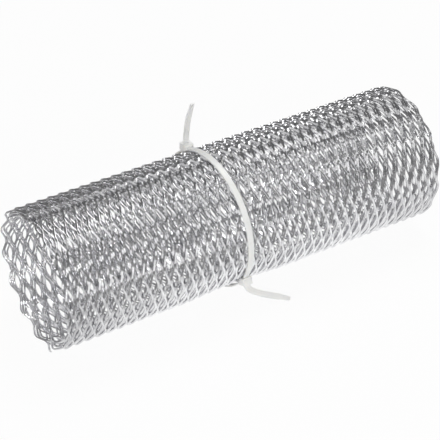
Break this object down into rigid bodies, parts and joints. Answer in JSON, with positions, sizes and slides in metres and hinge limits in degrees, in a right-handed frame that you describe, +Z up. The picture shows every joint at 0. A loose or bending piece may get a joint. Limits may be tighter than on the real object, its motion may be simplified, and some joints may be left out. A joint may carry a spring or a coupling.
{
  "type": "expanded metal mesh roll",
  "caption": "Sheet of raised expanded aluminium mesh rolled into a hollow roll on its side, held round its middle by linked nylon cable ties.",
  "frame": {"origin": "middle of the bore, on its axis", "axes": "+X along the roll, +Y to the back, +Z up from the surface it lies on"},
  "size_m": [0.33, 0.116, 0.1471],
  "materials": {
    "mesh": "bright, slightly dull on the rolled faces",
    "tie": "natural nylon, slightly translucent"
  },
  "bodies": {
    "root": {"mesh_roll": "mesh", "cable_tie_front": "tie", "cable_tie_back": "tie"}
  },
  "joints": []
}
